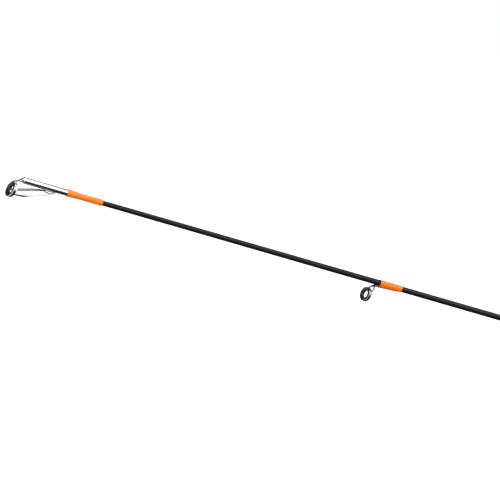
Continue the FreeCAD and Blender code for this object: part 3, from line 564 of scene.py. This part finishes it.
skin("tip_frame_skin", [barrel, tab, nearArm, pad], chrome, "rod", ["tip_frame"],
     loops=[True, False, False, False])
# The far arm is the same chrome as the near arm; its darker smoked finish is painted shade.
skin("tip_far_arm_shaded_skin", [farArm], smoked, "rod", ["tip_frame"], loops=False)


insertShape = {"flare": 5.0, "bed": 0.01}     # power of the flare, and overlap with the holder


# An insert: straight outside, and a hole that flares smoothly to both lips as a power of the
# distance from its middle.
def insertGrid(half, outer, bore, centre, lean, shift=0.0):
    along = np.linspace(-1, 1, 40)
    hole = bore + (outer - bore) * np.abs(along) ** insertShape["flare"]
    back = np.linspace(1, -1, 10)[1:-1]
    return turned(np.r_[along, back] * half + shift, np.r_[hole, np.full(8, outer)], 96, centre, lean)


tipHalf = tipRing["depth"] / 2
tipInsert = insertGrid(
    tipHalf, tipRing["seat"] + insertShape["bed"], tipRing["bore"], ringPlace, tipRing["lean"], -tipHalf)
skin("tip_ring_skin", [tipInsert], ceramic, "rod", ["tip_ring"])
print("Tip made.")

wrapSizes = {"reach": 0.12, "pitch": 0.17, "groove": 0.022, "rowsPerTurn": 6, "columns": 48}


# Reach from the axis to a band pulled tight round a circle on the axis and a smaller one below it:
# the furthest of the circles that slide from one to the other.
def bandReach(core, drop, hump, turn):
    share = np.linspace(0, 1, 13)[:, None, None]
    middle, size = drop * share, core + (hump - core) * share
    inside = size ** 2 - (middle * np.cos(turn)) ** 2
    reach = -middle * np.sin(turn) + np.sqrt(np.maximum(inside, 0))
    return np.max(np.where(inside > 0, reach, 0), axis=0)


# A winding between two places. Core, drop and hump are functions of the place along the rod. The
# groove is how deep the gaps between turns go; its ends run down into the blank.
def woundGrid(rear, front, core, drop, hump, groove, rows, columns):
    along = np.linspace(rear, front, rows)
    turn = np.linspace(0, math.tau, columns, endpoint=False)[None, :]
    reach = bandReach(core(along)[:, None], drop(along)[:, None], hump(along)[:, None], turn)
    phase = along[:, None] / wrapSizes["pitch"] + turn / math.tau
    reach = reach - groove * (1 - np.sqrt(np.abs(np.sin(np.pi * phase))))
    sunk = np.full((1, columns), blankRadius(rear) * 0.8)
    reach = np.vstack([sunk, reach, sunk * blankRadius(front) / blankRadius(rear)])
    return turned(np.r_[rear, along, front], reach, columns)


def nothing(along):
    return np.zeros_like(along)


def threadPiece(node, core, drop=nothing, hump=None):
    low, high = corners(node)
    low, high = low - wrapSizes["reach"], high + wrapSizes["reach"]
    hump = hump or core
    rows = int((high[0] - low[0]) / wrapSizes["pitch"] * wrapSizes["rowsPerTurn"])
    grid = woundGrid(low[0], high[0], core, drop, hump, wrapSizes["groove"], rows, wrapSizes["columns"])
    skin(node + "_skin", [grid], thread, "rod", [node], sharp=80.0)


def coatPiece(node, core, drop=nothing, hump=None):
    low, high = corners(node)
    grid = woundGrid(low[0], high[0], core, drop, hump or core, 0.0, 160, 64)
    skin(node + "_skin", [grid], epoxy, "rod", [node], sharp=60.0)


# Radius through (place, radius) stations, eased so that no corner shows.
def eased(places, radii, ease=0.5):
    def at(along):
        spots = [np.clip(along + step, places[0], places[-1]) for step in np.linspace(-ease, ease, 9)]
        return np.mean([np.interp(spot, places, radii) for spot in spots], axis=0)

    return at


tipWrap = {
    "build": 0.13, "coat": 0.06, "swell": 0.10, "edge": 0.9, "saddle": 3.0,
    "foot": 0.22, "tubeCoat": 0.17, "frontCoat": 0.20, "ease": 0.25,   # coat's height at its ends
}
wrapLow, wrapHigh = corners("tip_wrap")
coatLow, coatHigh = corners("tip_coat")
saddle = tubeLow[0] - tipWrap["saddle"]
tubeReach = tubeHigh[1]
threadPiece("tip_wrap", eased(
    [wrapLow[0], saddle, tubeLow[0], wrapHigh[0]],
    [blankRadius(wrapLow[0]) + tipWrap["build"], blankRadius(saddle) + tipWrap["build"],
     tubeReach + tipWrap["build"] * 0.6, tubeReach + tipWrap["build"] * 0.9]))
coatPiece("tip_coat", eased(
    [coatLow[0], coatLow[0] + tipWrap["edge"] * 0.3, coatLow[0] + tipWrap["edge"], saddle, tubeLow[0],
     coatHigh[0] - tipWrap["edge"] * 0.6, coatHigh[0]],
    [blankRadius(coatLow[0]), blankRadius(coatLow[0]) + tipWrap["foot"],
     blankRadius(coatLow[0]) + tipWrap["build"] + tipWrap["coat"] + tipWrap["swell"],
     blankRadius(saddle) + tipWrap["build"] + tipWrap["coat"], tubeReach + tipWrap["tubeCoat"],
     tubeReach + tipWrap["frontCoat"], tubeReach], tipWrap["ease"]))

handleWrap = {
    "build": 0.12, "coat": 0.08, "swell": 0.12, "edge": 0.9,
    "rearCoat": 0.24, "frontCoat": 0.2, "ease": 0.25,
}
clearLow, clearHigh = corners("handle_coat")
threadPiece("handle_wrap", lambda along: blankRadius(along) + handleWrap["build"])
coatPiece("handle_coat", eased(
    [clearLow[0], clearHigh[0] - handleWrap["edge"], clearHigh[0] - handleWrap["edge"] * 0.3, clearHigh[0]],
    [blankRadius(clearLow[0]) + handleWrap["rearCoat"],
     blankRadius(clearHigh[0]) + handleWrap["build"] + handleWrap["coat"] + handleWrap["swell"],
     blankRadius(clearHigh[0]) + handleWrap["frontCoat"], blankRadius(clearHigh[0])], handleWrap["ease"]))
print("Tip and handle wraps made.")

guideShapes = {
    "lean": 5.0, "legLean": 26.0,       # ring and legs, degrees
    "neckRun": 0.9, "toeThick": 0.15, "gap": 0.02,
    "build": 0.13, "coat": 0.05,
    "hump": (0.2, 0.45, 1.0),           # share of the foot's hump at wrap start, toe and wrap end
    # bore, ring depth, wall, sheet, neck width, foot width, foot height
    "first_guide": (1.30, 1.2, 0.42, 0.50, 1.3, 1.3, 0.60),
    "second_guide": (2.35, 1.5, 0.50, 0.60, 1.6, 1.6, 0.75),
    "third_guide": (4.10, 1.9, 0.65, 0.80, 2.2, 2.1, 0.95),
}


def guidePieces(guide):
    bore, depth, wall, sheet, neckWidth, footWidth, footHeight = guideShapes[guide]
    insertLow, insertHigh = corners(guide + "_ring")
    frameLow, frameHigh = corners(guide + "_frame")
    centre = (insertLow + insertHigh) / 2
    outer = frameHigh[1]
    seat = outer - wall
    tilt = math.radians(guideShapes["legLean"])
    under = float(blankRadius(centre[0])) + guideShapes["gap"]
    rise = (-centre[2] - under) / math.cos(tilt)
    bend = centre[0] - rise * math.sin(tilt)
    toe = frameLow[0]

    holder = softened([(-depth / 2, seat), (-depth / 2, outer), (depth / 2, outer), (depth / 2, seat)],
                      [0.06, wall * 0.5, wall * 0.5, 0.06])
    grids = [turned(holder[:, 0], holder[:, 1], 96, centre, guideShapes["lean"])]

    # A spot in the leaning plane of the legs, from its distance across and its height up the plane.
    def spot(across, height, halfWidth, halfHeight):
        along, up = centre[0] - height * math.sin(tilt), centre[2] + height * math.cos(tilt)
        return (along, across, up, halfWidth, halfHeight)

    half = sheet / 2
    for sign in (1, -1):
        grids.append(carried([
            spot(sign * outer * 0.86, outer * 0.36, half * 0.7, half * 0.8),
            spot(sign * outer * 0.58, outer * 0.80, half, half),
            spot(sign * outer * 0.30, (outer + rise) * 0.52, half * 1.1, half),
            spot(sign * neckWidth * 0.30, rise - sheet * 1.6, half * 1.2, half),
            spot(sign * neckWidth * 0.22, rise - sheet * 0.4, half * 1.2, half)],
            (0, 1, 0), 0.6, 70, 24, 0.25))
    heel = -float(blankRadius(bend)) - guideShapes["gap"]
    toeUp = -float(blankRadius(toe)) - guideShapes["gap"]
    neckHalf, footHalf = neckWidth / 2, footWidth / 2
    grids.append(carried([
        spot(0.0, rise - sheet * 2.3, neckHalf * 0.55, half * 0.8),
        spot(0.0, rise - sheet * 1.1, neckHalf, half),
        (bend - half * 0.8, 0, heel - footHeight * 0.50, footHalf, footHeight * 0.46),
        (bend - guideShapes["neckRun"] - 1.0, 0, heel - footHeight * 0.48, footHalf, footHeight * 0.46),
        ((bend + toe) / 2, 0, (heel + toeUp) / 2 - footHeight * 0.3, footHalf * 0.9, footHeight * 0.3),
        (toe + 0.2, 0, toeUp - guideShapes["toeThick"] / 2, footHalf * 0.6, guideShapes["toeThick"] / 2)],
        (0, 1, 0), 0.6, 90, 28, 0.2))
    skin(guide + "_frame_skin", grids, smoked, "rod", [guide + "_frame"],
         loops=[True, False, False, False])
    insertHalf = (insertHigh[0] - insertLow[0]) / 2 * 0.9
    insert = insertGrid(insertHalf, seat + insertShape["bed"], bore, centre, guideShapes["lean"])
    skin(guide + "_ring_skin", [insert], ceramic, "rod", [guide + "_ring"])

    wrapStart, wrapEnd = corners(guide + "_wrap")[0][0], corners(guide + "_wrap")[1][0]
    axisDrop = float(blankRadius(bend)) + footHeight - footHalf

    # The hump under the thread grows from the toe to the heel.
    def humpAt(build):
        return lambda along: (footHalf + build) * np.interp(
            along, [wrapStart, toe, wrapEnd], guideShapes["hump"])

    threadPiece(guide + "_wrap", lambda along: blankRadius(along) + guideShapes["build"],
                lambda along: np.full_like(along, axisDrop), humpAt(guideShapes["build"]))
    clear = guideShapes["build"] + guideShapes["coat"]
    coatStart, coatEnd = corners(guide + "_coat")[0][0], corners(guide + "_coat")[1][0]

    # The coat's ends feather out over the blank.
    def feather(along):
        return np.sqrt(np.clip(np.minimum((along - coatStart) / 0.9, (coatEnd - along) / 0.5), 0, 1))

    coatPiece(guide + "_coat", lambda along: blankRadius(along) + clear * feather(along),
              lambda along: np.full_like(along, axisDrop) * feather(along),
              lambda along: humpAt(clear)(along) * (0.8 + 0.2 * feather(along)))


for guide in ("first_guide", "second_guide", "third_guide"):
    guidePieces(guide)
    print(guide.replace("_", " ").capitalize() + " made.")

handleShapes = {
    "capEdge": 2.2, "capInside": 2.2, "trimEdge": 0.4, "gripEdge": 0.8,
    "trimGroove": 0.14, "grooveReach": 0.28, "wearReach": 0.25,
    "rearGrip": (11.1, 8.2, 1.9), "foregrip": (9.4, 5.2, 1.5),     # rear and front radius, bow
    "check": (4.8, 2.7),
}

capLow, capHigh = corners("butt_cap")
capFlat = capHigh[1] - handleShapes["capEdge"]
capOutline = softened([(0.0, 0.1), (0.0, capHigh[1]), (capHigh[0], capHigh[1]),
                       (capHigh[0], handleShapes["capInside"])],
                      [0.02, handleShapes["capEdge"], 0.25, 0.02], 14)
capAlong = np.r_[np.zeros(12), capOutline[14:, 0]]
capReach = np.r_[np.linspace(0.1, capFlat * 0.98, 12), capOutline[14:, 1]]
skin("butt_cap_skin", [turned(capAlong, capReach, 96)], rubber, "rod", ["butt_cap"],
     loops=False)

# Trim rings: quarter-round edges and a shallow groove round the middle; wear sits on the edges.
for node in ("butt_trim", "rear_trim", "seat_trim", "foregrip_trim"):
    low, high = corners(node)
    middle = (low[0] + high[0]) / 2
    along, reach = sleeve(low[0], high[0], lambda place: high[1] - handleShapes["trimGroove"]
                          * np.exp(-((place - middle) / handleShapes["grooveReach"]) ** 2),
                          handleShapes["trimEdge"], float(blankRadius(middle)) * 0.9, 48)
    fromEdge = np.minimum(along - low[0], high[0] - along)
    edgeWear = np.exp(-(fromEdge / handleShapes["wearReach"]) ** 2)
    skin(node + "_skin", [turned(along, reach, 96)], anodised, "rod", [node],
         wear=np.repeat(edgeWear, 96))

# Grips: a straight taper with one long bow added.
for node, key in (("rear_grip", "rearGrip"), ("foregrip", "foregrip")):
    low, high = corners(node)
    rearRadius, frontRadius, bow = handleShapes[key]

    def gripReach(along):
        share = (along - low[0]) / (high[0] - low[0])
        return rearRadius + (frontRadius - rearRadius) * share + 4 * bow * share * (1 - share)

    hidden = float(blankRadius(low[0])) * 0.9
    along, reach = sleeve(low[0], high[0], gripReach, handleShapes["gripEdge"], hidden, 140)
    skin(node + "_skin", [turned(along, reach, 96)], foam, "rod", [node])

low, high = corners("winding_check")
checkRear, checkFront = handleShapes["check"]
checkOutline = softened([
    (low[0], 2.0), (low[0], checkRear), (low[0] + 1.2, checkRear), (low[0] + 1.5, checkRear - 0.35),
    (high[0] - 0.8, checkFront + 0.45), (high[0], checkFront + 0.1), (high[0], 2.0)],
    [0.02, 0.4, 0.25, 0.2, 0.4, 0.2, 0.02])
checkWear = np.exp(-((checkOutline[:, 0] - low[0] - 0.8) / 0.8) ** 2)
skin("winding_check_skin", [turned(checkOutline[:, 0], checkOutline[:, 1], 96)], anodised, "rod",
     ["winding_check"], wear=np.repeat(checkWear, 96))
print("Grips and trims made.")

# The reel seat, its hood, nut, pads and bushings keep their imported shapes.
painted = (
    (("reel_seat", "moving_hood"), seatPlastic), (("lock_nut",), nutPlastic),
    (("fixed_hood_liner", "moving_hood_liner"), cushion), (("rear_arbor", "front_arbor"), arbor))
for names, material in painted:
    for name in names:
        held = nodes[name].data.materials
        for index in range(len(held)):
            held[index] = material
        if not held:
            held.append(material)
print("Reel seat painted.")

studio = {
    "place": (0.980, 0.437, 0.119),
    "right": (-0.798, 0.443, 0.408), "up": (0.229, -0.403, 0.886), "back": (0.557, 0.801, 0.220),
    "turnRight": 0.00122, "turnDown": 0.00116,      # fine aim, radians
    "lens": 118.2, "sensor": 36.0, "near": 0.01,
    "floorDrop": 0.10, "floorSide": 6.0,
    "keyPower": 7.5, "keySize": 1.6,
    "keyPlace": (0.9, 0.5, 1.3), "keyAim": (0.68, 0.0, 0.0),
}
back = Vector(studio["back"]).normalized()
side = Vector(studio["up"]).cross(back).normalized()
back = (back - side * studio["turnRight"] + Vector(studio["up"]) * studio["turnDown"]).normalized()
side = Vector(studio["up"]).cross(back).normalized()
rise = back.cross(side)
lens = bpy.data.cameras.new("camera")
lens.sensor_width = studio["sensor"]
lens.lens = studio["lens"]
lens.clip_start = studio["near"]
camera = bpy.data.objects.new("camera", lens)
camera.matrix_world = Matrix.LocRotScale(
    Vector(studio["place"]), Matrix((side, rise, back)).transposed(), None)
scene.collection.objects.link(camera)
scene.camera = camera

# Pale floor below the rod, seen straight on but left out of polished reflections.
reach = studio["floorSide"] / 2
floorLevel = cadBox[0][2] - studio["floorDrop"]
floorMesh = bpy.data.meshes.new("floor")
floorMesh.from_pydata([(-reach, -reach, floorLevel), (reach, -reach, floorLevel), (reach, reach, floorLevel),
                       (-reach, reach, floorLevel)], [], [(0, 1, 2, 3)])


def floorAt(place):
    cloud = place.noise((3.0, 3.0, 3.0), 2.0)
    return {"Base Color": cloud.between(shade(0.74, 0.74, 0.74), shade(0.76, 0.76, 0.76)), "Roughness": 0.9,
            "Specular IOR Level": 0.0}


floorMesh.materials.append(finish("floor", floorAt))
floor = bpy.data.objects.new("floor", floorMesh)
scene.collection.objects.link(floor)
floor.visible_glossy = False
floor.visible_diffuse = False

# The room, by the direction that a ray leaves in: white to the eye, and for diffuse light a soft sky
# that brightens from below to above. Polished parts mirror a white vault with one bright band over a
# dark lower half, with a dark strip behind the rod that draws its upper edge. Forward of the rod a
# slanted line parts the two.
world = bpy.data.worlds.new("studio")
scene.world = world
world.use_nodes = True
world.node_tree.nodes.clear()
room = Wire(world.node_tree)
toward = room.make("ShaderNodeTexCoord", {}, {}, "Generated")
ahead, depth, height = (toward.part(axis) for axis in range(3))
past = ahead.climb(0.0, 0.5)
vault = room.make("ShaderNodeValToRGB", {"stops": [
    (0.0, shade(0.06, 0.045, 0.04)), (0.09, shade(0.035, 0.024, 0.021)), (0.54, shade(0.035, 0.024, 0.021)),
    (0.60, shade(0.92, 0.92, 0.94)), (0.745, shade(0.98, 0.98, 1.0)), (0.79, shade(3.2, 3.2, 3.2)),
    (0.835, shade(1.0, 1.0, 1.03)), (0.94, shade(1.35, 1.37, 1.45))]},
    {0: height * 0.5 + 0.5})
strip = (-depth - 0.10).climb(0.0, 0.1)
low = (0.92 - height).climb(0.0, 0.1)
upstage = (strip * low).between(vault, shade(0.05, 0.045, 0.045))
glow = (depth - height * 0.6).climb(-0.7, -0.5)
mirrored = past.between(upstage, glow.between(shade(0.05, 0.042, 0.040), shade(1.0, 1.02, 1.06)))
kind = room.make("ShaderNodeLightPath", {}, {}, "Is Glossy Ray")
seen = room.make("ShaderNodeLightPath", {}, {}, "Is Camera Ray")
soft = room.make("ShaderNodeValToRGB", {"stops": [
    (0.0, shade(0.45, 0.45, 0.45)), (0.5, shade(1.2, 1.2, 1.2)), (1.0, shade(1.95, 1.95, 1.95))]},
    {0: height * 0.5 + 0.5})
lit = kind.between(soft, mirrored)
shown = seen.between(lit, shade(1.0, 1.0, 1.0))
background = room.make("ShaderNodeBackground", {}, {"Color": shown, "Strength": 1.0})
room.make("ShaderNodeOutputWorld", {}, {"Surface": background})

keyLight = bpy.data.lights.new("key", "AREA")
keyLight.energy = studio["keyPower"]
keyLight.size = studio["keySize"]
key = bpy.data.objects.new("key", keyLight)
keyPlace = Vector(studio["keyPlace"])
keyTurn = (keyPlace - Vector(studio["keyAim"])).to_track_quat("Z", "Y")
key.matrix_world = Matrix.LocRotScale(keyPlace, keyTurn, None)
scene.collection.objects.link(key)
scene.view_settings.view_transform = "Standard"
print("Studio made.")
